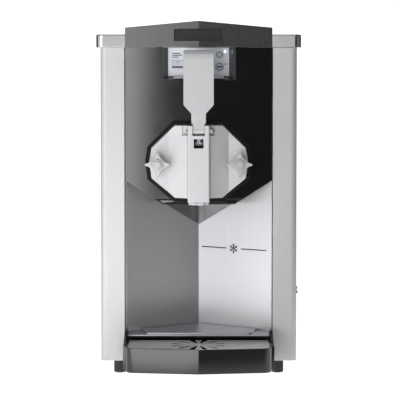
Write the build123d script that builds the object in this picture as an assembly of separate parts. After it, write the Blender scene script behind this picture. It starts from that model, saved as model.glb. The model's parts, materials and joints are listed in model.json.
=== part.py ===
from build123d import *
import os

# Counter-top slush freezer with one horizontal freezing barrel.  Millimetres.
# +Z is up, the front faces -Y, and the origin is under the middle of the whole machine.

# cabinet
CABINET_HALF = 221.5
CABINET_FRONT = -196.0
CABINET_BACK = 354.0
CABINET_BOTTOM = 32.5
CABINET_TOP = 740.0
SHEET = 1.5
CORNER_RADIUS = 12.5
STRIP_INNER = 167.0
FRAME_HALF = 217.0
RAIL = 25.0
RAIL_WALL = 2.5

# deck
DECK_HALF = 230.5
DECK_FRONT = -205.0
DECK_BACK = 356.0
DECK_TOP = 769.0
DECK_CORNER = 15.0

# front mouldings
FRONT_HALF = 165.0
HOUSING_EDGE = -198.0
HOUSING_NOSE = -216.0
HOUSING_WALL = 3.0
HOUSING_TOP = 745.0
LEDGE_BOTTOM = 387.5
LEDGE_TOP = 401.0
LEDGE_HALF = 81.0
VEE_END = 441.0
VEE_TIP = 334.0
FASCIA_EDGE = -192.0
FASCIA_VALLEY = -91.0

# crown over the front
CROWN_EDGE = -207.0
CROWN_NOSE = -227.0
CROWN_BACK = -180.0
CROWN_BOTTOM = 740.2
CROWN_END_TOP = 784.0
CROWN_PEAK = 798.0
BADGE_HALF = 54.7
BADGE_BOTTOM = 753.6
BADGE_TOP = 780.4
BADGE_FLOOR = -216.0

# control recess
RECESS_HALF = 82.5
RECESS_BOTTOM = 666.5
PANEL_HALF = 69.0
PANEL_BOTTOM = 676.0
PANEL_FACE = -187.0
PANEL_THICK = 3.0
BUTTON_X = 47.0
BUTTON_HIGH = 724.0
BUTTON_LOW = 697.0

# freezing barrel and its door
BARREL_Z = 480.0
BARREL_BORE = 57.0
BARREL_RADIUS = 60.0
BARREL_FRONT = -220.0
BARREL_BACK = 90.0
JACKET_RADIUS = 70.0
FOAM_RADIUS = 88.0
DOOR_BACK = -222.0
DOOR_FLANGE = -236.0
DOOR_SLOPE_TOP = -266.0
DOOR_NOSE = -276.0
DOOR_HALF = 109.7
DOOR_TOP = 565.5
DOOR_BOTTOM = 405.5
COLUMN_HALF = 24.0
COLUMN_BOTTOM = 397.0
STUD_X = 91.0
STUD_RADIUS = 4.0
KNOB_REACH = 26.5

# draw valve
PIVOT_Y = -266.0
PIVOT_Z = 554.0
PIVOT_RADIUS = 3.5
TONGUE_BACK = 12.0
TONGUE_DROP = 28.0
PLUNGER_Y = -246.0
PLUNGER_RADIUS = 10.95
VALVE_BORE = 11.0

# drip tray
TRAY_HALF = 158.5
TRAY_BACK = -203.5
TRAY_CORNER_Y = -338.0
TRAY_TIP = -356.0
TRAY_TOP = 86.5
TRAY_BOTTOM = 33.5
TRAY_CORNER = 22.0
TRAY_SHELF = 311.0
GRID_TOP = 85.5
GRID_THICK = 1.5
SHELF_FRONT = -231.5
SHELF_TOP = 102.0

# feet
FOOT_X = 180.0
FOOT_FRONT = -159.5
FOOT_BACK = 320.0

# hopper
HOPPER_HALF = 148.0
HOPPER_FRONT = -88.0
HOPPER_BACK = 188.0
HOPPER_BOTTOM = 600.0
FEED_Y = 60.0

# power switch, cord gland, tubes and fan
SWITCH_CUT_Y = (-143.0, -121.0)
SWITCH_CUT_Z = (173.0, 194.0)
SWITCH_LEAN = 8.0
GLAND_X = -150.0
GLAND_Z = 90.0
CAPILLARY = (-60.0, 30.0)
SUCTION = (-45.0, -40.0)
FAN_X = 115.0
FAN_Z = 150.0

# clearances
GAP = 0.3
RUNNING = 0.05

os.makedirs("parts", exist_ok=True)


def box(x0, x1, y0, y1, z0, z1):
    size = (x1 - x0, y1 - y0, z1 - z0)
    return Pos((x0 + x1) / 2, (y0 + y1) / 2, (z0 + z1) / 2) * Box(*size)


def upright(x, y, radius, z0, z1):
    return Pos(x, y, (z0 + z1) / 2) * Cylinder(radius, z1 - z0)


def fore_aft(x, z, radius, y0, y1):
    return Pos(x, (y0 + y1) / 2, z) * Rot(90, 0, 0) * Cylinder(radius, y1 - y0)


def crosswise(y, z, radius, x0, x1):
    return Pos((x0 + x1) / 2, y, z) * Rot(0, 90, 0) * Cylinder(radius, x1 - x0)


def plan(points, z0, z1):
    """Outline seen from above, drawn up from z0 to z1."""
    wire = Polyline(*[(x, y, z0) for x, y in points], close=True)
    return extrude(make_face(wire), amount=z1 - z0, dir=(0, 0, 1))


def front(points, y0, y1):
    """Outline seen from the front, given depth from y0 back to y1."""
    wire = Polyline(*[(x, y0, z) for x, z in points], close=True)
    return extrude(make_face(wire), amount=y1 - y0, dir=(0, 1, 0))


def side(points, x0, x1):
    """Outline seen from the side, as (y, z), drawn from x0 to x1."""
    wire = Polyline(*[(x0, y, z) for y, z in points], close=True)
    return extrude(make_face(wire), amount=x1 - x0, dir=(1, 0, 0))


def mirrored(points):
    """The right-hand half of an outline and its mirror image, as one loop."""
    return points + [(-x, other) for x, other in reversed(points) if x != 0]


def other_side(shape):
    return mirror(shape, about=Plane.YZ)


def save(name, *solids):
    """One file for one node; several solids stay separate in it."""
    found = []
    for shape in solids:
        found.extend(shape.solids())
    whole = found[0] if len(found) == 1 else Compound(children=found)
    export_step(whole, f"parts/{name}.step")


def octagon(grow, y0, y1):
    """The door's eight-sided outline, grown evenly all round."""
    middle = (DOOR_TOP + DOOR_BOTTOM) / 2
    return front(
        mirrored(
            [
                (53.0 + grow * 0.4, DOOR_TOP + grow),
                (104.7 + grow, 515.0 + grow * 0.3),
                (DOOR_HALF + grow, middle),
                (104.7 + grow, 448.0 - grow * 0.3),
                (53.0 + grow * 0.4, DOOR_BOTTOM - grow),
            ]
        ),
        y0,
        y1,
    )


# ---- cabinet ----------------------------------------------------------------


def foot_places():
    return [(x, y) for x in (-FOOT_X, FOOT_X) for y in (FOOT_FRONT, FOOT_BACK)]


def make_foot(x, y):
    pad = fillet(upright(x, y, 14.0, 0, 27.0).edges().sort_by(Axis.Z)[0], 2.5)
    flange = upright(x, y, 15.2, 27.0, CABINET_BOTTOM)
    stud = upright(x, y, 4.0, CABINET_BOTTOM, 43.0)
    return pad + flange + stud


def make_feet():
    save("feet", *[make_foot(x, y) for x, y in foot_places()])
    save("foot_nuts", *[foot_nut(x, y) for x, y in foot_places()])


def foot_nut(x, y):
    return Pos(x, y, 35.5) * extrude(RegularPolygon(7.0, 6) - Circle(4.3), amount=6.5)


def make_base_pan():
    pan = box(-219.7, 219.7, -174, 351, 33.0, 35.5)
    for x, y in foot_places():
        pan -= upright(x, y, 4.3, 30, 40)
    # the foot flanges bear on the pan's underside, so it is thickened there
    for x, y in foot_places():
        pad = upright(x, y, 14.0, CABINET_BOTTOM, 34.0) - upright(x, y, 4.3, 30, 40)
        pan += pad
    save("base_pan", pan)


def post(x_out, y_out):
    """One folded corner angle, its outer faces at x_out and y_out."""
    x_in = x_out - RAIL if x_out > 0 else x_out + RAIL
    y_in = y_out + RAIL if y_out < 0 else y_out - RAIL
    x0, x1 = sorted((x_out, x_in))
    y0, y1 = sorted((y_out, y_in))
    wall_x = x_out - RAIL_WALL if x_out > 0 else x_out + RAIL_WALL
    wall_y = y_out + RAIL_WALL if y_out < 0 else y_out - RAIL_WALL
    hollow_x = sorted((wall_x, x_in - 5 if x_out > 0 else x_in + 5))
    hollow_y = sorted((wall_y, y_in + 5 if y_out < 0 else y_in - 5))
    corner = box(x0, x1, y0, y1, 35.5, 738)
    return corner - box(*hollow_x, *hollow_y, 30, 745)


def make_frame():
    front_y, back_y = -174.0, 350.0
    frame = post(FRAME_HALF, front_y) + post(-FRAME_HALF, front_y)
    frame += post(FRAME_HALF, back_y) + post(-FRAME_HALF, back_y)
    for low in (55.5, 562.0, 713.0):
        rail = box(FRAME_HALF - RAIL_WALL, FRAME_HALF, front_y, back_y, low, low + RAIL)
        frame += rail + other_side(rail)
    frame += box(-FRAME_HALF, FRAME_HALF, back_y - RAIL_WALL, back_y, 713, 738)
    frame += box(-FRAME_HALF, FRAME_HALF, front_y, front_y + RAIL_WALL, 713, 738)
    # bulkhead that carries the barrel, open below for the splayed front
    plate = box(-FRAME_HALF, FRAME_HALF, front_y, front_y + RAIL_WALL, 452, 640)
    plate -= fore_aft(0, BARREL_Z, BARREL_RADIUS + GAP, -200, -150)
    plate -= box(-50, 50, -200, -150, 440, 470)
    save("cabinet_frame", frame + plate)


def make_side_panels():
    outer = box(STRIP_INNER, CABINET_HALF, CABINET_FRONT, CABINET_BACK - 2,
                CABINET_BOTTOM, CABINET_TOP)
    outer = fillet(outer.edges().filter_by(Axis.Z).group_by(Axis.Y)[0].sort_by(Axis.X)[-1],
                   CORNER_RADIUS)
    inner = box(STRIP_INNER + SHEET, CABINET_HALF - SHEET, CABINET_FRONT + SHEET,
                CABINET_BACK + 10, 20, 760)
    inner = fillet(inner.edges().filter_by(Axis.Z).group_by(Axis.Y)[0].sort_by(Axis.X)[-1],
                   CORNER_RADIUS - SHEET)
    panel = outer - inner - box(150, 200, -175, 400, 20, 760)
    for row in range(10):
        low = 90 + row * 16
        for start in (140.0, 240.0):
            panel -= box(215, 230, start, start + 80, low, low + 6)
    left = other_side(panel)
    panel -= box(215, 230, *SWITCH_CUT_Y, *SWITCH_CUT_Z)
    for y, z in panel_screw_places():
        hole = crosswise(y, z, 2.3, 210, 230)
        panel -= hole
        left -= other_side(hole)
    save("side_panel_right", panel)
    save("side_panel_left", left)
    right = [dome_screw_x(y, z) for y, z in panel_screw_places()]
    return right + [other_side(screw) for screw in right]


def panel_screw_places():
    return [(332.0, 68.0), (332.0, 400.0), (332.0, 725.0), (-150.0, 68.0), (-150.0, 725.0)]


def dome_screw_x(y, z):
    head = crosswise(y, z, 4.2, CABINET_HALF, CABINET_HALF + 1.6)
    head = fillet(head.edges().sort_by(Axis.X)[-1], 1.0)
    return head + crosswise(y, z, 2.0, CABINET_HALF - 4.3, CABINET_HALF)


def make_rear_panel():
    panel = box(-219.5, 219.5, CABINET_BACK - 1.5, CABINET_BACK, 36.5, CABINET_TOP - 1)
    for column in range(2):
        for row in range(14):
            low = 80 + row * 14
            x0 = 20.0 + column * 90
            panel -= box(x0, x0 + 80, 340, 360, low, low + 6)
    for row in range(8):
        panel -= box(-60, 60, 340, 360, 430 + row * 14, 436 + row * 14)
    panel -= fore_aft(GLAND_X, GLAND_Z, 9.2, 340, 360)
    heads = []
    for x in (-205.0, 0.0, 205.0):
        for z in (48.0, 388.0, 727.0):
            if x == 0 and z == 48.0:
                continue
            panel -= fore_aft(x, z, 2.3, 340, 360)
            head = fore_aft(x, z, 4.2, CABINET_BACK, DECK_BACK - 0.4)
            head = fillet(head.edges().sort_by(Axis.Y)[-1], 0.8)
            heads.append(head + fore_aft(x, z, 2.0, CABINET_BACK - 3.9, CABINET_BACK))
    save("rear_panel", panel)
    return heads


def make_gland():
    """Cable gland in the back; its bore is where the supply cord would enter."""
    flange = fore_aft(GLAND_X, GLAND_Z, 12.0, CABINET_BACK, DECK_BACK)
    barrel = fore_aft(GLAND_X, GLAND_Z, 9.0, CABINET_BACK - 16, CABINET_BACK)
    nut = fore_aft(GLAND_X, GLAND_Z, 12.5, CABINET_BACK - 8, CABINET_BACK - 1.5)
    save("cord_gland", flange + barrel + nut - fore_aft(GLAND_X, GLAND_Z, 5.0, 320, 370))


def make_deck():
    def rounded(half, y0, y1, z0, z1, radius):
        block = box(-half, half, y0, y1, z0, z1)
        return fillet(block.edges().filter_by(Axis.Z), radius)

    deck = rounded(DECK_HALF, DECK_FRONT, DECK_BACK, CABINET_TOP, DECK_TOP, DECK_CORNER)
    deck = fillet(deck.faces().sort_by(Axis.Z)[-1].edges(), 3.0)
    deck -= rounded(DECK_HALF - SHEET, DECK_FRONT + SHEET, DECK_BACK - SHEET,
                    CABINET_TOP + SHEET, DECK_TOP - SHEET, DECK_CORNER - SHEET)
    # underside is open except for a return lip resting on the panels
    deck -= rounded(DECK_HALF - 22, DECK_FRONT + 22, DECK_BACK - 22, 730, 750, 5)
    deck -= box(-HOPPER_HALF - GAP, HOPPER_HALF + GAP, HOPPER_FRONT - GAP, HOPPER_BACK + GAP,
                760, 780)
    save("top_deck", deck)


def make_hopper():
    tub = box(-HOPPER_HALF, HOPPER_HALF, HOPPER_FRONT, HOPPER_BACK, HOPPER_BOTTOM, DECK_TOP)
    tub = fillet(tub.edges().filter_by(Axis.Z), 12) + box(
        -HOPPER_HALF - 8, HOPPER_HALF + 8, HOPPER_FRONT - 8, HOPPER_BACK + 8,
        DECK_TOP, DECK_TOP + 1.5)
    inner = box(-HOPPER_HALF + 2, HOPPER_HALF - 2, HOPPER_FRONT + 2, HOPPER_BACK - 2,
                HOPPER_BOTTOM + 2, 790)
    tub -= fillet(inner.edges().filter_by(Axis.Z), 10)
    deck_corner = box(-HOPPER_HALF - 20, HOPPER_HALF + 20, HOPPER_FRONT - 20,
                      HOPPER_BACK + 20, 755, DECK_TOP)
    tub -= deck_corner - box(-HOPPER_HALF, HOPPER_HALF, HOPPER_FRONT, HOPPER_BACK, 750, 790)
    tub -= upright(0, FEED_Y, 13.0 + GAP, 590, 610)
    save("hopper", tub)


def make_lid():
    lid = box(-HOPPER_HALF - 10, HOPPER_HALF + 10, HOPPER_FRONT - 10, HOPPER_BACK + 10,
              DECK_TOP + 1.5, DECK_TOP + 5)
    lid = fillet(lid.edges().filter_by(Axis.Z), 14)
    rim = box(-HOPPER_HALF + 3, HOPPER_HALF - 3, HOPPER_FRONT + 3, HOPPER_BACK - 3,
              DECK_TOP - 6, DECK_TOP + 3)
    rim = fillet(rim.edges().filter_by(Axis.Z), 9)
    rim -= box(-HOPPER_HALF + 6, HOPPER_HALF - 6, HOPPER_FRONT + 6, HOPPER_BACK - 6,
               DECK_TOP - 8, DECK_TOP + 1.5)
    handle = box(-50, 50, 42, 58, DECK_TOP + 5, 790)
    handle = fillet(handle.edges().filter_by(Axis.X).group_by(Axis.Z)[-1], 4)
    handle -= box(-40, 40, 30, 70, DECK_TOP + 5, 783)
    save("hopper_lid", lid + rim + handle)


def make_feed_tube():
    tube = upright(0, FEED_Y, 10.9, 562, 752) - upright(0, FEED_Y, 8.5, 550, 760)
    for z in (606.0, 614.0):
        tube -= crosswise(FEED_Y, z, 2.5, -20, 20)
    ring = upright(0, FEED_Y, 14.0, 734, 740) - upright(0, FEED_Y, 10.0, 730, 745)
    save("mix_feed_tube", tube + ring)


# ---- front mouldings ----------------------------------------------------------


def wedge(half, edge, nose, back, z0, z1):
    """Everything between a folded face and a flat plane behind it."""
    return plan([(-half, edge), (0, nose), (half, edge), (half, back), (-half, back)], z0, z1)


def valley_at(x):
    share = 1 - abs(x) / FRONT_HALF
    return FASCIA_EDGE + (FASCIA_VALLEY - FASCIA_EDGE) * share


def lower_cut(inset):
    """What lies below the housing's slanting lower edges, raised by inset."""
    outline = [(-FRONT_HALF - 9, 300), (FRONT_HALF + 9, 300),
               (FRONT_HALF + 9, VEE_END + 5.7 + inset), (FRONT_HALF, VEE_END + inset),
               (LEDGE_HALF, LEDGE_BOTTOM + inset), (-LEDGE_HALF, LEDGE_BOTTOM + inset),
               (-FRONT_HALF, VEE_END + inset), (-FRONT_HALF - 9, VEE_END + 5.7 + inset)]
    return front(outline, -300, 0)


def ledge_chamfer():
    """Bevel under the front of the housing, cut square to each half of the fold."""
    bevel = side([(HOUSING_NOSE - 20, 300), (HOUSING_NOSE - 20, LEDGE_TOP),
                  (HOUSING_NOSE, LEDGE_TOP), (HOUSING_NOSE + 9, LEDGE_BOTTOM - 0.5),
                  (HOUSING_NOSE + 9, 300)], -20, 200)
    turn = Pos(0, HOUSING_NOSE, 0) * Rot(0, 0, 6.23) * Pos(0, -HOUSING_NOSE, 0)
    right = turn * bevel & box(0, 200, -300, 0, 200, 500)
    return right + other_side(right)


def make_upper_housing():
    block = wedge(FRONT_HALF, HOUSING_EDGE, HOUSING_NOSE, -90, LEDGE_BOTTOM, HOUSING_TOP)
    # its back follows the splayed steel below, with a small gap
    behind = plan([(-FRONT_HALF - 1, FASCIA_EDGE - 3), (0, FASCIA_VALLEY - 7),
                   (FRONT_HALF + 1, FASCIA_EDGE - 3), (FRONT_HALF + 1, -50),
                   (-FRONT_HALF - 1, -50)], 300, 800)
    shell = block - behind - lower_cut(0)
    hollow = wedge(FRONT_HALF - HOUSING_WALL, HOUSING_EDGE + HOUSING_WALL,
                   HOUSING_NOSE + HOUSING_WALL, -50, 300, HOUSING_TOP + 10)
    hollow -= lower_cut(HOUSING_WALL)
    bar = wedge(LEDGE_HALF + 14, HOUSING_EDGE, HOUSING_NOSE, HOUSING_EDGE + 2,
                LEDGE_BOTTOM, LEDGE_TOP + 2)
    shell -= hollow - bar
    shell -= ledge_chamfer()
    shell -= octagon(9.6 + GAP, -300, -150)
    shell -= box(-RECESS_HALF, RECESS_HALF, -300, -150, RECESS_BOTTOM, 760)
    # the walls beside the fold are short, and there is none over the barrel
    shell -= box(-95, 95, HOUSING_EDGE + 8, -50, LEDGE_BOTTOM + HOUSING_WALL, 800)
    shell -= box(-170, 170, DECK_FRONT - 0.5, 0, CABINET_TOP - 0.5, 800)
    save("upper_housing", shell)


def make_neck_panel():
    sheet = plan([(-LEDGE_HALF, valley_at(LEDGE_HALF) - 2.8), (0, FASCIA_VALLEY - 2.8),
                  (LEDGE_HALF, valley_at(LEDGE_HALF) - 2.8),
                  (LEDGE_HALF, valley_at(LEDGE_HALF) - GAP), (0, FASCIA_VALLEY - GAP),
                  (-LEDGE_HALF, valley_at(LEDGE_HALF) - GAP)], 300, LEDGE_BOTTOM - 1)
    keep = front([(-LEDGE_HALF, LEDGE_BOTTOM), (0, VEE_TIP), (LEDGE_HALF, LEDGE_BOTTOM)],
                 -300, 0)
    save("neck_panel", sheet & keep)


def make_lower_fascia():
    sheet = plan([(-FRONT_HALF, FASCIA_EDGE), (0, FASCIA_VALLEY), (FRONT_HALF, FASCIA_EDGE),
                  (FRONT_HALF, FASCIA_EDGE + SHEET), (0, FASCIA_VALLEY + SHEET),
                  (-FRONT_HALF, FASCIA_EDGE + SHEET)], 80, 460)
    outline = [(-FRONT_HALF, 80), (FRONT_HALF, 80), (FRONT_HALF, VEE_END - 0.6),
               (LEDGE_HALF, LEDGE_BOTTOM - 0.6), (LEDGE_HALF - 3, LEDGE_BOTTOM + 4),
               (0, VEE_TIP + 7), (-LEDGE_HALF + 3, LEDGE_BOTTOM + 4),
               (-LEDGE_HALF, LEDGE_BOTTOM - 0.6), (-FRONT_HALF, VEE_END - 0.6)]
    sheet &= front(outline, -300, 0)
    flange = box(FRONT_HALF - SHEET, FRONT_HALF, FASCIA_EDGE + 0.5, -176.5, 80, VEE_END - 0.6)
    save("lower_fascia", sheet + flange + other_side(flange))


def make_bezel_ring():
    """Black collar through the housing that frames the door."""
    ring = octagon(9.6, -224, -190) - octagon(2.6, -230, -180)
    # the spout column drops in front of its lower rail
    ring -= box(-COLUMN_HALF - 1, COLUMN_HALF + 1, -230, -221.5, 390, 404)
    save("door_surround", ring)


def make_crown():
    outline = [(-FRONT_HALF, CROWN_BOTTOM), (FRONT_HALF, CROWN_BOTTOM),
               (FRONT_HALF, CROWN_END_TOP), (0, CROWN_PEAK), (-FRONT_HALF, CROWN_END_TOP)]
    solid = front(outline, -260, CROWN_BACK)
    solid &= wedge(FRONT_HALF, CROWN_EDGE, CROWN_NOSE, CROWN_BACK, 700, 800)
    inside = [(-FRONT_HALF + 3, 700), (FRONT_HALF - 3, 700), (FRONT_HALF - 3, 781.2),
              (0, 794.8), (-FRONT_HALF + 3, 781.2)]
    hollow = front(inside, -260, CROWN_BACK - 3)
    hollow &= wedge(FRONT_HALF - 3, CROWN_EDGE + 3, CROWN_NOSE + 3, CROWN_BACK - 3, 690, 800)
    backing = box(-59, 59, -224, -212.5, 749, 785)
    solid -= hollow - backing
    solid -= box(-BADGE_HALF, BADGE_HALF, -240, BADGE_FLOOR, BADGE_BOTTOM, BADGE_TOP)
    # it stands on the deck and hangs in front of it
    solid -= box(-170, 170, DECK_FRONT, 0, 700, DECK_TOP)
    save("crown", solid)
    badge = box(-BADGE_HALF + 0.4, BADGE_HALF - 0.4, BADGE_FLOOR - 2, BADGE_FLOOR,
                BADGE_BOTTOM + 0.4, BADGE_TOP - 0.4)
    save("crown_badge", badge)


# ---- controls -----------------------------------------------------------------


def rectangle_at(half, z0, z1, y):
    corners = [(-half, y, z0), (half, y, z0), (half, y, z1), (-half, y, z1)]
    return make_face(Polyline(*corners, close=True))


def make_control_bezel():
    """Splayed frame round the control panel."""
    block = wedge(90, -202.9, -212.7, -183, 662, CABINET_TOP - 0.5)
    splay = loft([rectangle_at(RECESS_HALF + 3.5, RECESS_BOTTOM - 3, 760, -216),
                  rectangle_at(PANEL_HALF, PANEL_BOTTOM, 755, -186)])
    through = box(-PANEL_HALF, PANEL_HALF, -187, -170, PANEL_BOTTOM, 760)
    save("control_bezel", block - splay - through)


def make_control_panel():
    back = PANEL_FACE + PANEL_THICK
    plate = box(-PANEL_HALF + GAP, PANEL_HALF - GAP, PANEL_FACE, back,
                PANEL_BOTTOM + GAP, CABINET_TOP - 0.5)
    tab = side([(PANEL_FACE, PANEL_BOTTOM + 0.8), (PANEL_FACE - 19, PANEL_BOTTOM - 5.9),
                (PANEL_FACE - 19, PANEL_BOTTOM - 4.7), (PANEL_FACE, PANEL_BOTTOM + 2.2)],
               -56, 56)
    plate += tab
    for z, radius in ((BUTTON_HIGH, 5.6), (BUTTON_LOW, 7.4)):
        plate -= fore_aft(BUTTON_X, z, radius + GAP, -200, -170)
    plate -= fore_aft(59.5, 731.0, 2.2, -200, -170)
    plate -= box(-61.3, -33.7, -200, -170, 693.2, 712.9)
    save("control_panel", plate)
    lens = box(-61, -34, PANEL_FACE - 0.4, -180.5, 693.5, 712.6)
    save("level_display", lens)
    lamp = fore_aft(59.5, 731.0, 2.0, PANEL_FACE - 1.2, -180.5)
    save("status_lamp", lamp)


def make_button(name, z, radius):
    cap = fore_aft(BUTTON_X, z, radius, PANEL_FACE - 3.0, -182.6)
    cap = fillet(cap.edges().sort_by(Axis.Y)[0], 0.8)
    save(name, cap)


def make_switch():
    """Rocker power switch in the right side panel."""
    y0, y1 = SWITCH_CUT_Y
    z0, z1 = SWITCH_CUT_Z
    body = box(198, CABINET_HALF, y0 + 0.2, y1 - 0.2, z0 + 0.2, z1 - 0.2)
    body += box(CABINET_HALF, CABINET_HALF + 2.5, y0 - 2, y1 + 2, z0 - 2, z1 + 2)
    middle_y, middle_z = (y0 + y1) / 2, (z0 + z1) / 2
    body -= box(206, 230, y0 + 2.5, y1 - 2.5, z0 + 2.2, z1 - 2.2)
    axle = fore_aft(216.0, middle_z, 1.45, y0 + 2.4, y1 - 2.4)
    save("power_switch_body", body + axle)
    wings = Polyline((208.5, middle_z - 2.5), (208.5, middle_z + 2.5),
                     (228.5, z1 - 3.6), (225.0, middle_z), (228.5, z0 + 3.6), close=True)
    outline = make_face(Plane.XZ * wings)
    rocker = extrude(outline, amount=(y1 - y0) / 2 - 3.0, both=True)
    rocker = Pos(0, middle_y, 0) * rocker
    # at rest it leans to one side, as a rocker that has been pressed does
    pivot = Pos(216.0, 0, middle_z)
    rocker = pivot * Rot(0, -SWITCH_LEAN, 0) * Pos(-216.0, 0, -middle_z) * rocker
    rocker -= fore_aft(216.0, middle_z, 1.5, y0, y1)
    save("power_switch_rocker", rocker)


# ---- door and draw valve --------------------------------------------------------


def make_door():
    faceted = octagon(0, -300, DOOR_BACK)
    profile = [(-DOOR_HALF, DOOR_FLANGE), (-67, DOOR_FLANGE), (-26, DOOR_SLOPE_TOP),
               (26, DOOR_SLOPE_TOP), (67, DOOR_FLANGE), (DOOR_HALF, DOOR_FLANGE),
               (DOOR_HALF, DOOR_BACK), (-DOOR_HALF, DOOR_BACK)]
    door = faceted & plan(profile, 380, 600)
    column = box(-COLUMN_HALF, COLUMN_HALF, DOOR_NOSE, DOOR_BACK, COLUMN_BOTTOM, DOOR_TOP)
    column = fillet(column.edges().filter_by(Axis.Z).group_by(Axis.Y)[0], 3.0)
    door += column
    # valve bore, product port and the pocket behind the slopes
    door -= upright(0, PLUNGER_Y, VALVE_BORE, 380, 600)
    door -= fore_aft(0, 414.0, 9.0, PLUNGER_Y, DOOR_BACK + 5)
    for x in (1, -1):
        door -= plan([(x * 60, DOOR_BACK + 1), (x * 60, DOOR_FLANGE + 4),
                      (x * 30, DOOR_SLOPE_TOP + 8), (x * 30, DOOR_BACK + 1)], 432, 548)
    # room for the handle's foot, and the window in front of its tongue
    door -= box(-13.4, 13.4, -290, -231, 543.5, 600)
    door -= box(-10.6, 10.6, -290, -231, 516, 536)
    door -= box(-10.6, 10.6, -268.5, -231, 510, 560)
    door -= crosswise(PIVOT_Y, PIVOT_Z, PIVOT_RADIUS + RUNNING, -40, 40)
    # seats for the ends of the handle pin beside the column
    door -= box(COLUMN_HALF, 36, -290, -257, 544, 570)
    door -= box(-36, -COLUMN_HALF, -290, -257, 544, 570)
    for x in (-STUD_X, STUD_X):
        door -= fore_aft(x, BARREL_Z - 1, STUD_RADIUS + 0.3, -250, -200)
    save("door", door)


def make_outlet():
    """Scalloped collar under the spout; eight rounded lobes round the valve bore."""
    ring = upright(0, PLUNGER_Y, 20.0, 390, COLUMN_BOTTOM)
    for lobe in range(8):
        at = Pos(0, PLUNGER_Y, 0) * Rot(0, 0, lobe * 45 + 22.5) * Pos(20.0, 0, 0)
        ring += at * upright(0, 0, 3.6, 390, COLUMN_BOTTOM)
    save("spout_collar", ring - upright(0, PLUNGER_Y, VALVE_BORE, 380, 400))


def make_plunger():
    rod = upright(0, PLUNGER_Y, PLUNGER_RADIUS, 402, 537)
    tip_z = PIVOT_Z - TONGUE_DROP
    rod -= box(-8.6, 8.6, -270, -225, tip_z - 6.6, tip_z + 6.6)
    rod -= box(-4.3, 4.3, -270, -225, tip_z, 560)
    rings = []
    for z in (408.0, 448.0, 458.0):
        groove = upright(0, PLUNGER_Y, 20, z - 1.6, z + 1.6)
        rod -= groove - upright(0, PLUNGER_Y, 8.0, z - 1.6, z + 1.6)
        rings.append(Pos(0, PLUNGER_Y, z) * Torus(9.5, 1.42))
    save("valve_plunger", rod)
    save("plunger_rings", *rings)


def make_handle():
    """Paddle handle: wide blade, chamfered shoulders, narrow neck, foot and tongue."""
    blade = front(mirrored([(33.2, 731), (33.2, 611), (16.0, 592), (16.0, 572)]), -300, -250)
    profile = side([(-273.5, 560), (-262.5, 560), (-262.5, 716), (-255, 726), (-259, 731),
                    (-266, 729), (-271.5, 722), (-273.5, 712)], -40, 40)
    blade &= profile
    blade -= box(-28, 28, -264.5, -262, 618, 708)
    blade += box(-2, 2, -264.6, -262.5, 600, 712)
    neck = side([(-273.5, 550), (-258.5, 550), (-262.5, 585), (-273.5, 585)], -13, 13)
    eye = crosswise(PIVOT_Y, PIVOT_Z, 8.6, -13, 13)
    collar = side([(-273.5, 570.2), (-262.5, 570.2), (-262.5, 592), (-273.5, 592)], -16, 16)
    tip_y, tip_z = PIVOT_Y + TONGUE_BACK, PIVOT_Z - TONGUE_DROP
    length = (TONGUE_BACK**2 + TONGUE_DROP**2) ** 0.5
    along = (TONGUE_BACK / length, -TONGUE_DROP / length)
    across = (-along[1] * 2.6, along[0] * 2.6)
    arm = side([(PIVOT_Y + across[0], PIVOT_Z + across[1]), (tip_y + across[0], tip_z + across[1]),
                (tip_y - across[0], tip_z - across[1]),
                (PIVOT_Y - across[0], PIVOT_Z - across[1])], -3.8, 3.8)
    tip = crosswise(tip_y, tip_z, 4.0, -8.0, 8.0)
    handle = blade + neck + eye + collar + arm + tip
    handle -= box(-20, 20, -257.3, -250, 546, 600)
    handle -= crosswise(PIVOT_Y, PIVOT_Z, PIVOT_RADIUS + RUNNING, -40, 40)
    save("draw_handle", handle)
    pin = crosswise(PIVOT_Y, PIVOT_Z, PIVOT_RADIUS, -28, 26)
    head = crosswise(PIVOT_Y, PIVOT_Z, 6.5, COLUMN_HALF, 32)
    head = fillet(head.edges().sort_by(Axis.X)[-1], 1.5)
    save("handle_pin", pin + head)


def make_knob(name, x):
    """Four-armed star knob with hollow sides between the points."""
    z = BARREL_Z - 1
    star = Rot(90, 0, 0) * extrude(
        make_face(
            [ThreePointArc(*arc) for arc in star_arcs(KNOB_REACH)]
        ), amount=10)
    star = Pos(x, -247, z) * star
    hub = fore_aft(x, z, 11.5, -261, DOOR_FLANGE) + fore_aft(x, z, 7.5, -265, -261)
    knob = star + hub
    knob -= fore_aft(x, z, STUD_RADIUS + RUNNING, -262.5, -230)
    save(name, knob)


def star_arcs(reach):
    """Concave quarter arcs between four blunt points."""
    blunt = 2.2
    arcs = []
    for turn in range(4):
        c, s = ((1, 0), (0, 1), (-1, 0), (0, -1))[turn]
        start = (reach * c - blunt * s, reach * s + blunt * c)
        end = (blunt * c - reach * s, blunt * s + reach * c)
        hollow = 11.0
        middle = (hollow * (c - s), hollow * (s + c))
        nxt = (-blunt * c - reach * s, -blunt * s + reach * c)
        nose = (-(reach + 1.4) * s, (reach + 1.4) * c)
        arcs.append((start, middle, end))
        arcs.append((end, nose, nxt))
    return arcs


# ---- freezing barrel and drive ----------------------------------------------------


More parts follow.
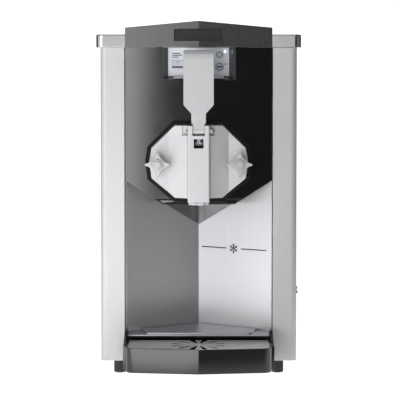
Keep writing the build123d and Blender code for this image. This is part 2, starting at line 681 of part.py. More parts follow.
def make_barrel():
    tube = fore_aft(0, BARREL_Z, BARREL_RADIUS, BARREL_FRONT, BARREL_BACK)
    flange = octagon(-5.5, BARREL_FRONT, -212)
    boss = fore_aft(0, BARREL_Z, 22.0, BARREL_BACK, BARREL_BACK + 8)
    barrel = tube + flange + boss
    barrel -= fore_aft(0, BARREL_Z, BARREL_BORE, -230, BARREL_BACK - 3)
    barrel -= fore_aft(0, BARREL_Z, 16.0, 60, 120)
    inlet = upright(0, FEED_Y, 13.0, BARREL_Z + BARREL_RADIUS - 1.5, HOPPER_BOTTOM + 6)
    barrel += inlet - fore_aft(0, BARREL_Z, BARREL_BORE, -230, 200)
    barrel -= upright(0, FEED_Y, 11.0, BARREL_Z + 30, 620)
    for x in (-STUD_X, STUD_X):
        barrel -= fore_aft(x, BARREL_Z - 1, STUD_RADIUS + 0.1, -230, -200)
    save("freezing_barrel", barrel)
    studs = []
    for x in (-STUD_X, STUD_X):
        stud = fore_aft(x, BARREL_Z - 1, STUD_RADIUS, -262, -206)
        studs.append(stud + fore_aft(x, BARREL_Z - 1, 7.0, -212, -206))
    save("door_studs", *studs)
    spots = [(-66, 540), (66, 540), (-90, 462), (90, 462)]
    save("barrel_standoffs", *[fore_aft(x, z, 5.0, -212, -174) for x, z in spots])
    seal = Pos(0, -221, BARREL_Z) * Rot(90, 0, 0) * Cylinder(68, 2)
    seal -= fore_aft(0, BARREL_Z, 63.0, -230, -210)
    save("door_gasket", seal)


def make_jacket():
    shell = fore_aft(0, BARREL_Z, JACKET_RADIUS, -165, 78)
    shell -= fore_aft(0, BARREL_Z, JACKET_RADIUS - 1.5, -162, 75)
    shell -= fore_aft(0, BARREL_Z, BARREL_RADIUS + 0.1, -200, 100)
    shell -= upright(0, FEED_Y, 13.0 + GAP, 500, 620)
    save("evaporator_jacket", shell)
    foam = fore_aft(0, BARREL_Z, FOAM_RADIUS, -169, 84)
    foam -= fore_aft(0, BARREL_Z, JACKET_RADIUS + GAP, -200, 100)
    foam -= upright(0, FEED_Y, 13.0 + GAP, 500, 620)
    foam -= upright(CAPILLARY[0], CAPILLARY[1], 3.0 + GAP, 380, 450)
    foam -= upright(SUCTION[0], SUCTION[1], 6.0 + GAP, 380, 450)
    save("barrel_insulation", foam)


def make_beater():
    """Shaft with a twin helical ribbon and two scraper blades."""
    shaft = fore_aft(0, BARREL_Z, 9.0, -200, 86)
    shaft += fore_aft(0, BARREL_Z, 6.0, 86, 150)
    turns = 16
    step = 255.0 / turns
    for number in range(turns):
        y = -195 + number * step
        tilt = Pos(0, y, BARREL_Z) * Rot(0, number * 45, 0)
        shaft += tilt * Pos(0, 0, 24) * Box(9, 5, 46)
        shaft += tilt * Pos(0, 0, -24) * Box(9, 5, 46)
    ends = fore_aft(0, BARREL_Z, 49.0, -205, -200) - fore_aft(0, BARREL_Z, 41.0, -210, -190)
    spokes = box(-45, 45, -205, -198, BARREL_Z - 5, BARREL_Z + 5)
    bars = box(40, 48, -205, 64, BARREL_Z - 5, BARREL_Z + 5)
    bars += box(-48, -40, -205, 64, BARREL_Z - 5, BARREL_Z + 5)
    bars += box(-45, 45, 58, 64, BARREL_Z - 5, BARREL_Z + 5)
    save("beater", shaft + ends + spokes + bars)
    blade = box(48.0, 56.0, -198, 60, BARREL_Z - 3, BARREL_Z + 3)
    save("scraper_blades", blade, other_side(blade))
    seal = fore_aft(0, BARREL_Z, 15.95, 87.2, 97.5) - fore_aft(0, BARREL_Z, 6.05, 80, 110)
    save("rear_shaft_seal", seal)


def make_drive():
    plate = box(-FRAME_HALF + RAIL_WALL, FRAME_HALF - RAIL_WALL, 104, 107, 400, 586)
    plate -= fore_aft(0, BARREL_Z, 30.0, 100, 120)
    plate -= box(-10, 10, 100, 120, 560, 600)
    save("drive_mount", plate)
    gearbox = fillet(box(-52, 52, 107, 168, 424, 536).edges().filter_by(Axis.Y), 8)
    gearbox += fore_aft(0, BARREL_Z, 26.0, 100, 107)
    gearbox -= fore_aft(0, BARREL_Z, 6.06, 90, 151)
    save("gearbox", gearbox)
    motor = fore_aft(0, BARREL_Z, 54.0, 168, 312)
    motor = fillet(motor.edges().sort_by(Axis.Y)[-1], 12)
    motor += box(-25, 25, 190, 280, BARREL_Z + 48, BARREL_Z + 70)
    save("drive_motor", motor)


# ---- refrigeration and electrics ---------------------------------------------------


def make_compressor():
    x, y = -105.0, 130.0
    can = upright(x, y, 72.0, 52, 190)
    can = fillet(can.edges().group_by(Axis.Z)[-1], 35)
    can = fillet(can.edges().group_by(Axis.Z)[0], 12)
    plate = box(x - 88, x + 88, y - 55, y + 55, 47, 54)
    for dx in (-78, 78):
        for dy in (-45, 45):
            plate -= upright(x + dx, y + dy, 4.2, 40, 60)
    save("compressor", can + plate)
    feet = []
    for dx in (-78, 78):
        for dy in (-45, 45):
            mount = upright(x + dx, y + dy, 9.0, 35.5, 47)
            mount += upright(x + dx, y + dy, 3.9, 47, 54) + upright(x + dx, y + dy, 7.0, 54, 58)
            feet.append(mount)
    save("compressor_mounts", *feet)


def make_condenser():
    block = box(25, 205, 300, 344, 52, 248)
    frame = box(20, 210, 298, 346, 44, 256) - box(25, 205, 290, 350, 52, 248)
    frame += box(20, 60, 298, 346, 35.5, 44)
    frame += box(120, 150, 298, 346, 35.5, 44)
    fins = block
    for number in range(17):
        x = 33.0 + number * 10.25
        fins -= box(x, x + 3, 295, 303, 56, 244)
    save("condenser", frame + fins)
    shroud = box(20, 210, 268, 298, 44, 256) - box(23, 207, 272, 299, 52, 253)
    shroud += box(20, 60, 268, 298, 35.5, 44)
    shroud += box(120, 150, 268, 298, 35.5, 44)
    shroud -= fore_aft(FAN_X, FAN_Z, 80.0, 260, 290)
    save("fan_shroud", shroud)
    motor = fore_aft(FAN_X, FAN_Z, 30.0, 205, 258) + fore_aft(FAN_X, FAN_Z, 3.0, 258, 292)
    foot = box(FAN_X - 25, FAN_X + 25, 215, 248, 35.5, 38.5)
    foot += box(FAN_X - 12, FAN_X + 12, 222, 242, 38, FAN_Z - 20)
    save("fan_motor", motor + foot)
    hub = fore_aft(FAN_X, FAN_Z, 16.0, 274, 288) - fore_aft(FAN_X, FAN_Z, 3.05, 250, 300)
    blade = Pos(44, 0, 0) * Rot(28, 0, 0) * Box(66, 2.5, 30)
    fan = hub
    for number in range(5):
        fan += Pos(FAN_X, 281, FAN_Z) * Rot(0, number * 72, 0) * blade
    fan -= fore_aft(FAN_X, FAN_Z, 3.05, 250, 300)
    save("condenser_fan", fan)


def pipe(points, radius, bend):
    path = FilletPolyline(*points, radius=bend)
    start = path @ 0
    profile = Plane(origin=start, z_dir=path % 0) * Circle(radius)
    return sweep(profile, path=path)


def make_pipes():
    save("filter_drier", upright(0, 215, 14.0, 110, 200))
    liquid = pipe([(0, 215, 110), (0, 215, 62), (0, 322, 62), (19.5, 322, 62)], 4.0, 12)
    capillary = pipe([(0, 215, 200), (0, 215, 372), (-60, 215, 372), (*CAPILLARY, 372),
                      (*CAPILLARY, 437)], 3.0, 12)
    hot = pipe([(-55, 130, 190), (-55, 130, 280), (0, 130, 280), (0, 322, 280),
                (60, 322, 280), (60, 322, 256.5)], 4.0, 12)
    suction = pipe([(-120, 130, 190.5), (-120, 130, 340), (-84, 130, 340), (-84, -40, 340),
                    (*SUCTION, 340), (*SUCTION, 419)], 6.0, 14)
    save("refrigerant_pipes", liquid, capillary, hot, suction)


def make_control_box():
    shell = box(60, 205, -30, 90, 36, 230) - box(62, 203, -28, 88, 38, 228)
    shell -= crosswise(30, 200, 8.0, 195, 215)
    save("control_box", shell)


# ---- drip tray --------------------------------------------------------------------


def tray_outline(inset):
    half = TRAY_HALF - inset
    return [(-half, TRAY_BACK - inset), (-half, TRAY_CORNER_Y + inset),
            (0, TRAY_TIP + inset), (half, TRAY_CORNER_Y + inset), (half, TRAY_BACK - inset)]


def tray_block(inset, z0, z1):
    block = plan(tray_outline(inset), z0, z1)
    corners = block.edges().filter_by(Axis.Z).group_by(Axis.Y)[1]
    return fillet(corners, TRAY_CORNER - inset)


def make_tray():
    pan = tray_block(0, TRAY_BOTTOM, TRAY_TOP)
    pan -= box(-200, 200, -TRAY_SHELF, -100, 20, 37.2)
    pan -= tray_block(9.0, 44, 100)
    pan -= tray_block(3.0, GRID_TOP - GRID_THICK, 100)
    pan -= tray_block(3.0, 70, 100) & box(-200, 200, -215, -150, 70, 100)
    save("drip_pan", pan)
    grid = tray_block(3.6, GRID_TOP - GRID_THICK, GRID_TOP)
    grid -= box(-200, 200, -233, -100, 70, 100)
    centre = Pos(0, -285, GRID_TOP - 2)
    spoke = Polyline((13, -1.8, 0), (55, -6.5, 0), (55, 6.5, 0), (13, 1.8, 0), close=True)
    slot = extrude(make_face(spoke), amount=4, dir=(0, 0, 1)) + upright(55, 0, 6.5, 0, 4)
    for number in range(12):
        grid -= centre * Rot(0, 0, (number + 0.5) * 30) * slot
    save("drip_grid", grid)


def make_tray_support():
    """Moulded base that hooks on the cabinet and carries the sliding pan."""
    floor = box(-FRONT_HALF, FRONT_HALF, -TRAY_SHELF, -197, TRAY_BOTTOM, 37)
    arm = side([(-TRAY_SHELF, TRAY_BOTTOM), (-196.5, TRAY_BOTTOM), (-196.5, 108), (-232, 108),
                (-290, TRAY_TOP), (-TRAY_SHELF, TRAY_TOP)], TRAY_HALF + 0.5, FRONT_HALF)
    back = box(-FRONT_HALF, FRONT_HALF, -200.5, -197, TRAY_BOTTOM, 94.3)
    save("tray_support", floor + arm + other_side(arm) + back)


def make_shelf():
    half = 158.0
    rear = valley_at(half) - 0.6
    plate = plan([(-half, SHELF_FRONT), (half, SHELF_FRONT), (half, rear),
                  (0, FASCIA_VALLEY - 0.9), (-half, rear)], 94.5, 97.5)
    raised = plan([(-117, -228.5), (117, -228.5), (129, valley_at(129) - 6),
                   (0, FASCIA_VALLEY - 6.5), (-129, valley_at(129) - 6)], 97.5, SHELF_TOP)
    corners = raised.edges().filter_by(Axis.Z).group_by(Axis.Y)
    raised = fillet(list(corners[0]), 9.0)
    raised = fillet(raised.faces().sort_by(Axis.Z)[-1].edges(), 1.5)
    save("recess_floor", plate + raised)


make_feet()
make_base_pan()
make_frame()
panel_screws = make_side_panels() + make_rear_panel()
save("panel_screws", *panel_screws)
make_gland()
make_deck()
make_hopper()
make_lid()
make_feed_tube()
make_upper_housing()
make_neck_panel()
make_lower_fascia()
make_bezel_ring()
make_crown()
make_control_bezel()
make_control_panel()
make_button("upper_button", BUTTON_HIGH, 5.6)
make_button("lower_button", BUTTON_LOW, 7.4)
make_switch()
make_door()
make_outlet()
make_plunger()
make_handle()
make_knob("star_knob_left", -STUD_X)
make_knob("star_knob_right", STUD_X)
make_barrel()
make_jacket()
make_beater()
make_drive()
make_compressor()
make_condenser()
make_pipes()
make_control_box()
make_tray()
make_tray_support()
make_shelf()
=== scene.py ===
"""Counter-top slush freezer: looks, lights and camera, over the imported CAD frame. Metres."""

import json
import math

import bmesh
import bpy
from mathutils import Matrix, Vector


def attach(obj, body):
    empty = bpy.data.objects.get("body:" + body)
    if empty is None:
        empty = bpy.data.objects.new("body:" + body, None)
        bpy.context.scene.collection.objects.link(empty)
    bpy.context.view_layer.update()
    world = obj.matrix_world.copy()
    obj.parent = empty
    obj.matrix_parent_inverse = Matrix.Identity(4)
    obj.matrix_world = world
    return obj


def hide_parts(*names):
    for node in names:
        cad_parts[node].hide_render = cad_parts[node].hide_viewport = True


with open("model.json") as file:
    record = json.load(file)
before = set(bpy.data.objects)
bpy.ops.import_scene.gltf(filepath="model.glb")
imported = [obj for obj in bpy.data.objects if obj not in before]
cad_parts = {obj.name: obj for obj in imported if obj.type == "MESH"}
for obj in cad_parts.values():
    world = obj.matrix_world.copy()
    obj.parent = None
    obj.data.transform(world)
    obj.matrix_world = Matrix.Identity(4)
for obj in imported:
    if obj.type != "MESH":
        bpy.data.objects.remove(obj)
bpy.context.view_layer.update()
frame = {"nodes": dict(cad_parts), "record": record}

# ---- sizes ---------------------------------------------------------------------

CABINET_FRONT = -0.196
CAMERA_DISTANCE = 3.0
CAMERA_HEIGHT = 0.6215
CAMERA_ASIDE = 0.003
CAMERA_TILT = math.radians(2.0)
CAMERA_LENS = 120.0
SENSOR = 36.0
SHIFT_DOWN = -0.133

FASCIA_HALF = 0.165
FASCIA_EDGE = -0.192
FASCIA_VALLEY = -0.091
PANEL_FACE = -0.187
FOOT_X = 0.180
FOOT_FRONT = -0.1595
FOOT_BACK = 0.320
FOOT_HEIGHT = 0.0325
FOOT_RADIUS = 0.0140
FOOT_GROOVE = 0.0130
FOOT_FLANGE = 0.0152
FOOT_RIBS = 7
FOOT_RIB_PITCH = 0.0031

MARK_X = 0.080
MARK_Z = 0.281
MARK_ARM = 0.011
MARK_STROKE = 0.0018
RULE_STROKE = 0.0022
RULE_NEAR = 0.020
RULE_FAR = 0.085

BUTTON_X = 0.047
UPPER_BUTTON_Z = 0.724
LOWER_BUTTON_Z = 0.697
PRINT_DEPTH = 0.0002


# ---- materials -------------------------------------------------------------------


def nodes_of(material):
    tree = material.node_tree
    return tree.nodes, tree.links


def surface(name, base, rough, metal=0.0, grain=(60.0, 60.0, 60.0), spread=0.06,
            relief=0.05, rough_spread=0.05, round_edges=0.0008, coat=0.0, crease_shade=0.0):
    """Principled finish with colour variation, uneven gloss, grain, soft edges and painted shade in
    the creases.
    """
    material = bpy.data.materials.new(name)
    material.use_nodes = True
    nodes, links = nodes_of(material)
    shader = nodes["Principled BSDF"]
    shader.inputs["Metallic"].default_value = metal
    shader.inputs["Coat Weight"].default_value = coat
    place = nodes.new("ShaderNodeTexCoord")
    scale = nodes.new("ShaderNodeMapping")
    scale.inputs["Scale"].default_value = grain
    links.new(place.outputs["Object"], scale.inputs["Vector"])
    noise = nodes.new("ShaderNodeTexNoise")
    noise.inputs["Scale"].default_value = 1.0
    noise.inputs["Detail"].default_value = 6.0
    links.new(scale.outputs["Vector"], noise.inputs["Vector"])
    tint = nodes.new("ShaderNodeValToRGB")
    dark = [channel * (1 - spread) for channel in base]
    light = [min(1.0, channel * (1 + spread)) for channel in base]
    tint.color_ramp.elements[0].position = 0.3
    tint.color_ramp.elements[1].position = 0.7
    tint.color_ramp.elements[0].color = (*dark, 1)
    tint.color_ramp.elements[1].color = (*light, 1)
    links.new(noise.outputs["Fac"], tint.inputs["Fac"])
    colour = tint.outputs["Color"]
    # painted shade: the base colour is darkened in creases and between parts, where shade falls
    if crease_shade:
        colour = painted_crease_shade(nodes, links, colour, crease_shade)
    links.new(colour, shader.inputs["Base Color"])
    gloss = nodes.new("ShaderNodeMapRange")
    gloss.inputs["To Min"].default_value = max(0.02, rough - rough_spread)
    gloss.inputs["To Max"].default_value = rough + rough_spread
    links.new(noise.outputs["Fac"], gloss.inputs["Value"])
    links.new(gloss.outputs["Result"], shader.inputs["Roughness"])
    bevel = nodes.new("ShaderNodeBevel")
    bevel.samples = 4
    bevel.inputs["Radius"].default_value = round_edges
    bump = nodes.new("ShaderNodeBump")
    bump.inputs["Strength"].default_value = relief
    bump.inputs["Distance"].default_value = 0.0004
    links.new(noise.outputs["Fac"], bump.inputs["Height"])
    links.new(bevel.outputs["Normal"], bump.inputs["Normal"])
    links.new(bump.outputs["Normal"], shader.inputs["Normal"])
    return material


def painted_crease_shade(nodes, links, colour, reach):
    """Painted shade: colour that falls towards black in the creases within a short reach, found by
    an occlusion test.
    """
    hidden = nodes.new("ShaderNodeAmbientOcclusion")
    hidden.samples = 8
    hidden.inputs["Distance"].default_value = reach
    depth = nodes.new("ShaderNodeMapRange")
    depth.inputs["From Min"].default_value = 0.25
    depth.inputs["From Max"].default_value = 0.85
    depth.inputs["To Min"].default_value = 0.12
    links.new(hidden.outputs["AO"], depth.inputs["Value"])
    shade = nodes.new("ShaderNodeVectorMath")
    shade.operation = "SCALE"
    links.new(colour, shade.inputs[0])
    links.new(depth.outputs["Result"], shade.inputs["Scale"])
    return shade.outputs["Vector"]


def with_index(material, index):
    """Strength of the mirror gloss: a high index for lacquer, a low one for a dull face."""
    material.node_tree.nodes["Principled BSDF"].inputs["IOR"].default_value = index
    return material


def glowing(material, colour, strength):
    """The same finish, giving out light of its own."""
    shader = material.node_tree.nodes["Principled BSDF"]
    shader.inputs["Emission Color"].default_value = (*colour, 1)
    shader.inputs["Emission Strength"].default_value = strength
    return material


UPRIGHT_GRAIN = (900.0, 900.0, 8.0)
LEVEL_GRAIN = (8.0, 8.0, 900.0)

finish = {
    "brushed_body": surface("brushed_body", (0.62, 0.62, 0.63), 0.45, 0.25, UPRIGHT_GRAIN,
                            spread=0.03, relief=0.02, rough_spread=0.03,
                            round_edges=0.0015, crease_shade=0.003),
    "lower_steel": surface("lower_steel", (0.62, 0.62, 0.64), 0.38, 0.90, UPRIGHT_GRAIN,
                           spread=0.03, relief=0.03, crease_shade=0.003),
    "black_gloss": with_index(surface("black_gloss", (0.003, 0.003, 0.0035), 0.12, 0.0, (30, 30, 30),
                                  spread=0.2, relief=0.004, rough_spread=0.02,
                                  round_edges=0.001), 1.9),
    "surround_black": with_index(surface("surround_black", (0.010, 0.010, 0.010), 0.35, 0.0,
                                     (60, 60, 60), spread=0.2, relief=0.01), 1.2),
    "neck_dark": surface("neck_dark", (0.26, 0.26, 0.27), 0.12, 0.9, (30, 30, 30), spread=0.08,
                         relief=0.004, rough_spread=0.02),
    "crown_grey": with_index(surface("crown_grey", (0.045, 0.045, 0.047), 0.28, 0.0,
                                 (700, 700, 700), spread=0.12, relief=0.08,
                                 round_edges=0.0012), 1.8),
    "badge_black": surface("badge_black", (0.010, 0.010, 0.011), 0.34, 0.0, (500, 500, 500),
                           spread=0.15, relief=0.05),
    "white_gloss": surface("white_gloss", (0.66, 0.66, 0.68), 0.18, 0.0, (25, 25, 25),
                           spread=0.02, relief=0.02, round_edges=0.0015, coat=0.3,
                           crease_shade=0.006),
    "handle_white": surface("handle_white", (0.60, 0.60, 0.62), 0.26, 0.0, (40, 40, 40),
                            spread=0.02, relief=0.02, round_edges=0.0015, crease_shade=0.006),
    "knob_white": surface("knob_white", (0.50, 0.50, 0.51), 0.16, 0.65, (60, 60, 60),
                          spread=0.04, relief=0.03, round_edges=0.001, coat=0.6,
                          crease_shade=0.022),
    "panel_white": surface("panel_white", (0.80, 0.83, 0.88), 0.40, 0.0, (90, 90, 90),
                           spread=0.03, relief=0.02),
    "display_grey": surface("display_grey", (0.62, 0.64, 0.72), 0.12, 0.0, (60, 60, 60),
                            spread=0.10, relief=0.0),
    "button_blue": surface("button_blue", (0.62, 0.68, 0.78), 0.35, 0.0, (90, 90, 90)),
    "lamp_blue": glowing(surface("lamp_blue", (0.8, 0.9, 1.0), 0.2), (0.75, 0.88, 1.0), 4.0),
    "feet_rubber": surface("feet_rubber", (0.04, 0.04, 0.04), 0.5, 0.0, (300, 300, 300),
                           spread=0.2, relief=0.2),
    "seal_rubber": surface("seal_rubber", (0.03, 0.03, 0.03), 0.6, 0.0, (200, 200, 200)),
    "zinc": surface("zinc", (0.55, 0.57, 0.60), 0.4, 1.0, (60, 60, 60), spread=0.15),
    "stainless": surface("stainless", (0.72, 0.72, 0.74), 0.28, 1.0, LEVEL_GRAIN,
                         spread=0.04, relief=0.04),
    "lid_clear": surface("lid_clear", (0.70, 0.73, 0.76), 0.22, 0.0, (30, 30, 30),
                         spread=0.03, relief=0.02, round_edges=0.0015),
    "tube_white": surface("tube_white", (0.78, 0.78, 0.78), 0.35, 0.0, (80, 80, 80)),
    "plunger_dark": surface("plunger_dark", (0.01, 0.01, 0.011), 0.4, 0.0, (90, 90, 90)),
    "bezel_dark": surface("bezel_dark", (0.07, 0.07, 0.075), 0.25, 0.2, (60, 60, 60),
                          spread=0.05, relief=0.01),
    "foam": surface("foam", (0.72, 0.62, 0.36), 0.9, 0.0, (200, 200, 200), spread=0.15,
                    relief=0.5),
    "cast_grey": surface("cast_grey", (0.16, 0.17, 0.18), 0.55, 0.3, (150, 150, 150),
                         spread=0.2, relief=0.4),
    "motor_paint": surface("motor_paint", (0.12, 0.14, 0.16), 0.35, 0.1, (80, 80, 80),
                           spread=0.1),
    "compressor_black": surface("compressor_black", (0.015, 0.015, 0.015), 0.3, 0.1,
                                (80, 80, 80), spread=0.2),
    "copper": surface("copper", (0.75, 0.38, 0.22), 0.3, 1.0, (90, 90, 90), spread=0.2),
    "fin_aluminium": surface("fin_aluminium", (0.72, 0.73, 0.75), 0.35, 1.0, LEVEL_GRAIN,
                             spread=0.08),
    "fan_plastic": surface("fan_plastic", (0.04, 0.04, 0.04), 0.45, 0.0, (90, 90, 90)),
    "switch_black": surface("switch_black", (0.015, 0.015, 0.016), 0.3, 0.0, (90, 90, 90),
                            spread=0.2),
}
ink = surface("printed_ink", (0.05, 0.055, 0.09), 0.5, 0.0, (200, 200, 200), spread=0.15)
mark = surface("pressed_mark", (0.05, 0.05, 0.055), 0.4, 0.4, (200, 200, 200), spread=0.15)

deck_steel = surface("deck_steel", (0.56, 0.56, 0.58), 0.20, 1.0, LEVEL_GRAIN,
                     spread=0.04, relief=0.03, round_edges=0.002)
grid_steel = surface("grid_steel", (0.90, 0.90, 0.91), 0.30, 0.25, LEVEL_GRAIN,
                     spread=0.04, relief=0.03, crease_shade=0.003)
tray_gloss = with_index(surface("tray_gloss", (0.004, 0.004, 0.004), 0.10, 0.0, (30, 30, 30),
                            spread=0.2, relief=0.004, rough_spread=0.02,
                            round_edges=0.001, crease_shade=0.004), 1.62)

for part in frame["record"]["subparts"]:
    shown = frame["nodes"][part["node"]]
    shown.data.materials.clear()
    shown.data.materials.append(finish[part["material_slot"]])
frame["nodes"]["top_deck"].data.materials[0] = deck_steel
frame["nodes"]["drip_grid"].data.materials[0] = grid_steel
for node in ("drip_pan", "tray_support"):
    frame["nodes"][node].data.materials[0] = tray_gloss


# ---- pieces ----------------------------------------------------------------------


def piece(name, mesh, material, body):
    """One visible piece that rides a body of the frame."""
    shown = bpy.data.objects.new(name, mesh)
    bpy.context.collection.objects.link(shown)
    shown.data.materials.append(material)
    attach(shown, body)
    return shown


def lathe(name, profile, centre, axis="Z", steps=48):
    """Mesh turned from (radius, along) points about an upright or fore-and-aft axis."""
    mesh = bpy.data.meshes.new(name)
    form = bmesh.new()
    rings = []
    for radius, along in profile:
        ring = []
        for step in range(steps):
            angle = 2 * math.pi * step / steps
            a, b = radius * math.cos(angle), radius * math.sin(angle)
            spot = Vector((a, b, along)) if axis == "Z" else Vector((a, along, b))
            ring.append(form.verts.new(spot + Vector(centre)))
        rings.append(ring)
    for low, high in zip(rings, rings[1:]):
        for step in range(steps):
            after = (step + 1) % steps
            form.faces.new((low[step], low[after], high[after], high[step]))
    form.faces.new(rings[0])
    form.faces.new(rings[-1])
    bmesh.ops.recalc_face_normals(form, faces=form.faces)
    for face in form.faces:
        face.smooth = len(face.verts) == 4
    form.to_mesh(mesh)
    form.free()
    return mesh


def make_feet():
    """Rubber feet with fine ribs between a top flange and a rounded base."""
    middle = 0.0005
    profile = [(middle, 0.0), (0.0115, 0.0), (0.0132, 0.0008), (FOOT_RADIUS, 0.0025)]
    for rib in range(FOOT_RIBS):
        low = 0.004 + rib * FOOT_RIB_PITCH
        profile += [(FOOT_RADIUS, low), (FOOT_RADIUS, low + 0.0018),
                    (FOOT_GROOVE, low + 0.0022), (FOOT_GROOVE, low + 0.0028)]
    profile += [(FOOT_RADIUS, 0.0262), (FOOT_FLANGE, 0.0272), (FOOT_FLANGE, FOOT_HEIGHT),
                (middle, FOOT_HEIGHT)]
    for x in (-FOOT_X, FOOT_X):
        for y in (FOOT_FRONT, FOOT_BACK):
            name = f"foot_{'left' if x < 0 else 'right'}_{'front' if y < 0 else 'back'}"
            foot = piece(name, lathe(name, profile, (x, y, 0)), finish["feet_rubber"],
                         "cabinet")
    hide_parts("feet")


def flat_shape(name, loops, place, thick):
    """Thin plates from closed (x, z) loops, laid on a surface by a matrix."""
    mesh = bpy.data.meshes.new(name)
    form = bmesh.new()
    for loop in loops:
        front = [form.verts.new(place @ Vector((x, -thick, z))) for x, z in loop]
        back = [form.verts.new(place @ Vector((x, 0, z))) for x, z in loop]
        form.faces.new(front)
        form.faces.new(list(reversed(back)))
        for here in range(len(loop)):
            after = (here + 1) % len(loop)
            form.faces.new((front[here], back[here], back[after], front[after]))
    bmesh.ops.recalc_face_normals(form, faces=form.faces)
    form.to_mesh(mesh)
    form.free()
    return mesh


def bar(x0, z0, x1, z1, width):
    """A straight stroke with square ends."""
    along = Vector((x1 - x0, z1 - z0)).normalized()
    across = Vector((-along.y, along.x)) * width / 2
    return [(x0 + across.x, z0 + across.y), (x1 + across.x, z1 + across.y),
            (x1 - across.x, z1 - across.y), (x0 - across.x, z0 - across.y)]


def snowflake(size, width):
    """Six arms with a pair of short branches each."""
    strokes = []
    for arm in range(6):
        angle = math.pi * arm / 3 + math.pi / 2
        c, s = math.cos(angle), math.sin(angle)
        strokes.append(bar(0.08 * size * c, 0.08 * size * s, size * c, size * s, width))
        for turn in (-1, 1):
            tip = angle + turn * math.pi / 4
            start = 0.55 * size
            strokes.append(bar(start * c, start * s, start * c + 0.32 * size * math.cos(tip),
                               start * s + 0.32 * size * math.sin(tip), width * 0.8))
    return strokes


def make_mark():
    """Generic frost mark on the right-hand steel: a snowflake between two rules."""
    slope = (FASCIA_EDGE - FASCIA_VALLEY) / FASCIA_HALF
    y = FASCIA_VALLEY + slope * MARK_X - 0.0002
    place = Matrix.Translation((MARK_X, y, MARK_Z)) @ Matrix.Rotation(math.atan(slope), 4, "Z")
    loops = snowflake(MARK_ARM, MARK_STROKE)
    for side in (-1, 1):
        loops.append(bar(side * RULE_NEAR, 0, side * RULE_FAR, 0, RULE_STROKE))
    mesh = flat_shape("frost_mark", loops, place, 0.0006)
    piece("frost_mark", mesh, mark, "cabinet")


def ring_loop(mesh_name, x, z, inner, outer, depth):
    profile = [(inner, 0), (outer, 0), (outer, -depth), (inner, -depth), (inner, 0)]
    mesh = bpy.data.meshes.new(mesh_name)
    form = bmesh.new()
    steps = 40
    rings = []
    for radius, along in profile[:-1]:
        ring = []
        for step in range(steps):
            angle = 2 * math.pi * step / steps
            ring.append(form.verts.new((x + radius * math.cos(angle), PANEL_FACE + along,
                                        z + radius * math.sin(angle))))
        rings.append(ring)
    for here in range(4):
        low, high = rings[here], rings[(here + 1) % 4]
        for step in range(steps):
            after = (step + 1) % steps
            form.faces.new((low[step], low[after], high[after], high[step]))
    bmesh.ops.recalc_face_normals(form, faces=form.faces)
    form.to_mesh(mesh)
    form.free()
    return mesh


def make_panel_print():
    """Printed rings, level bars and small icons on the control panel."""
    rings = (("upper", UPPER_BUTTON_Z, 0.0056), ("lower", LOWER_BUTTON_Z, 0.0074))
    for name, z, radius in rings:
        mesh = ring_loop(f"{name}_button_ring", BUTTON_X, z, radius + 0.0002, radius + 0.0017,
                         0.0003)
        piece(f"{name}_button_ring", mesh, ink, "cabinet")
    face = Matrix.Translation((0, PANEL_FACE - 0.0001, 0))
    left = -0.0610
    loops = []
    for row, length in enumerate((0.016, 0.024, 0.020)):
        z = 0.7185 + row * 0.0042
        loops.append(bar(left + 0.001, z, left + length, z, 0.0019))
    loops.append(bar(0.0585, 0.703, 0.0635, 0.703, 0.0012))
    loops.append(bar(0.061, 0.7005, 0.061, 0.7055, 0.0012))
    piece("panel_icons", flat_shape("panel_icons", loops, face, PRINT_DEPTH), ink, "cabinet")
    glass = Matrix.Translation((0, PANEL_FACE - 0.0006, 0))
    loops = [bar(-0.0595, 0.6962, -0.0355, 0.6962, 0.0035),
             bar(-0.0500, 0.7075, -0.0450, 0.7075, 0.0015)]
    segments = flat_shape("level_segments", loops, glass, PRINT_DEPTH)
    piece("level_segments", segments, ink, "cabinet")
    loops = [bar(0.0415, LOWER_BUTTON_Z, 0.0525, LOWER_BUTTON_Z, 0.003)]
    cap = Matrix.Translation((0, PANEL_FACE - 0.0031, 0))
    stroke = flat_shape("lower_button_bar", loops, cap, PRINT_DEPTH)
    piece("lower_button_bar", stroke, ink, "button_low")


make_feet()
make_mark()
make_panel_print()


# ---- studio ----------------------------------------------------------------------


def stage_sheet():
    """Pale floor that curves up into a backdrop behind the machine."""
    half, near, bend, rise = 6.0, -6.0, 3.6, 5.0
    radius = 1.2
    outline = [(near, 0.0), (bend, 0.0)]
    for step in range(1, 13):
        angle = math.pi / 2 * step / 12
        outline.append((bend + radius * math.sin(angle), radius * (1 - math.cos(angle))))
    outline.append((bend + radius, rise))
    mesh = bpy.data.meshes.new("studio_floor")
    form = bmesh.new()
    left = [form.verts.new((-half, y, z - 0.0002)) for y, z in outline]
    right = [form.verts.new((half, y, z - 0.0002)) for y, z in outline]
    for here in range(len(outline) - 1):
        face = form.faces.new((left[here], right[here], right[here + 1], left[here + 1]))
        face.smooth = True
    form.to_mesh(mesh)
    form.free()
    floor = bpy.data.objects.new("studio_floor", mesh)
    bpy.context.collection.objects.link(floor)
    paper = surface("studio_paper", (0.55, 0.55, 0.55), 0.85, 0.0, (3, 3, 3), spread=0.01,
                    relief=0.0, round_edges=0.0)
    light_near_machine(paper)
    floor.data.materials.append(paper)


def fade(nodes, links, value, start, end, low, high):
    """Smooth change from low to high as value goes from start to end."""
    ramp = nodes.new("ShaderNodeMapRange")
    ramp.interpolation_type = "SMOOTHSTEP"
    ramp.inputs["From Min"].default_value = start
    ramp.inputs["From Max"].default_value = end
    ramp.inputs["To Min"].default_value = low
    ramp.inputs["To Max"].default_value = high
    links.new(value, ramp.inputs["Value"])
    return ramp.outputs["Result"]


def join(nodes, links, operation, first, second):
    """Two values joined by one arithmetic operation."""
    both = nodes.new("ShaderNodeMath")
    both.operation = operation
    links.new(first, both.inputs[0])
    links.new(second, both.inputs[1])
    return both.outputs["Value"]


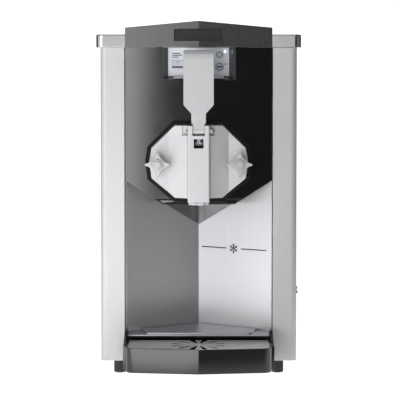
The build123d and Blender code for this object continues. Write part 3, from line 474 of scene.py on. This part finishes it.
def light_near_machine(paper):
    """Painted light: the floor glows white behind and to the front left of the machine and fades
    elsewhere, and its colour is painted darker far in front.
    """
    nodes, links = nodes_of(paper)
    shader = nodes["Principled BSDF"]
    shader.inputs["Emission Color"].default_value = (1, 1, 1, 1)
    place = nodes.new("ShaderNodeTexCoord")
    apart = nodes.new("ShaderNodeSeparateXYZ")
    links.new(place.outputs["Object"], apart.inputs["Vector"])
    x, y = apart.outputs["X"], apart.outputs["Y"]
    # painted shade: the floor colour falls to a third of its value far in front of the machine
    far_front_shade = nodes.new("ShaderNodeVectorMath")
    far_front_shade.operation = "SCALE"
    links.new(shader.inputs["Base Color"].links[0].from_socket, far_front_shade.inputs[0])
    links.new(fade(nodes, links, y, -2.2, -1.0, 0.35, 1.0), far_front_shade.inputs["Scale"])
    links.new(far_front_shade.outputs["Vector"], shader.inputs["Base Color"])
    right = fade(nodes, links, x, 1.0, 1.8, 1.0, 0.05)
    left = fade(nodes, links, x, -1.8, -1.0, 0.05, 1.0)
    behind = fade(nodes, links, y, -0.70, -0.44, 0.05, 1.0)
    middle = join(nodes, links, "MULTIPLY", join(nodes, links, "MULTIPLY", right, left), behind)
    # painted light: a bright glowing patch on the floor to the front left lights the machine from
    # below
    front_left = join(nodes, links, "MULTIPLY",
                      fade(nodes, links, x, -0.10, 0.0, 3.6, 0.0),
                      fade(nodes, links, y, -0.70, -0.44, 1.0, 0.0))
    near = fade(nodes, links, x, -1.3, -0.7, 0.0, 1.0)
    front_left = join(nodes, links, "MULTIPLY", front_left, near)
    links.new(join(nodes, links, "ADD", middle, front_left), shader.inputs["Emission Strength"])


def area_light(name, place, target, size, power, colour=(1, 1, 1)):
    lamp = bpy.data.lights.new(name, "AREA")
    lamp.shape = "RECTANGLE"
    lamp.size, lamp.size_y = size
    lamp.energy = power
    lamp.color = colour
    holder = bpy.data.objects.new(name, lamp)
    bpy.context.collection.objects.link(holder)
    holder.location = place
    holder.rotation_euler = (Vector(target) - Vector(place)).to_track_quat("-Z", "Y").to_euler()


def make_studio():
    world = bpy.data.worlds.new("studio")
    world.use_nodes = True
    world.node_tree.nodes["Background"].inputs["Color"].default_value = (1, 1, 1, 1)
    world.node_tree.nodes["Background"].inputs["Strength"].default_value = 0.05
    bpy.context.scene.world = world
    area_light("key_left", (-1.75, -3.2, 0.8), (-0.2, -0.2, 0.5), (1.65, 1.6), 27)
    area_light("camera_card", (0.0, -4.6, 0.8), (0, 0, 0.6), (1.5, 1.8), 7.4)
    area_light("front_high", (0.0, -2.6, 2.4), (0, 0, 0.4), (2.2, 1.0), 8)
    area_light("side_left", (-2.6, -1.2, 0.6), (0, -0.1, 0.4), (2.0, 2.0), 12)
    area_light("side_right", (2.6, -1.2, 0.6), (0, -0.1, 0.4), (2.0, 2.0), 2.5)
    area_light("top", (0.0, 0.2, 3.0), (0, 0, 0.4), (1.6, 1.6), 6)


def make_camera():
    lens = bpy.data.cameras.new("camera")
    lens.lens = CAMERA_LENS
    lens.sensor_width = SENSOR
    lens.shift_y = SHIFT_DOWN
    lens.clip_end = 50
    camera = bpy.data.objects.new("camera", lens)
    bpy.context.collection.objects.link(camera)
    camera.location = (CAMERA_ASIDE, CABINET_FRONT - CAMERA_DISTANCE, CAMERA_HEIGHT)
    camera.rotation_euler = (math.pi / 2 - CAMERA_TILT, 0, 0)
    bpy.context.scene.camera = camera
    bpy.context.scene.view_settings.view_transform = "Standard"


stage_sheet()
make_studio()
make_camera()
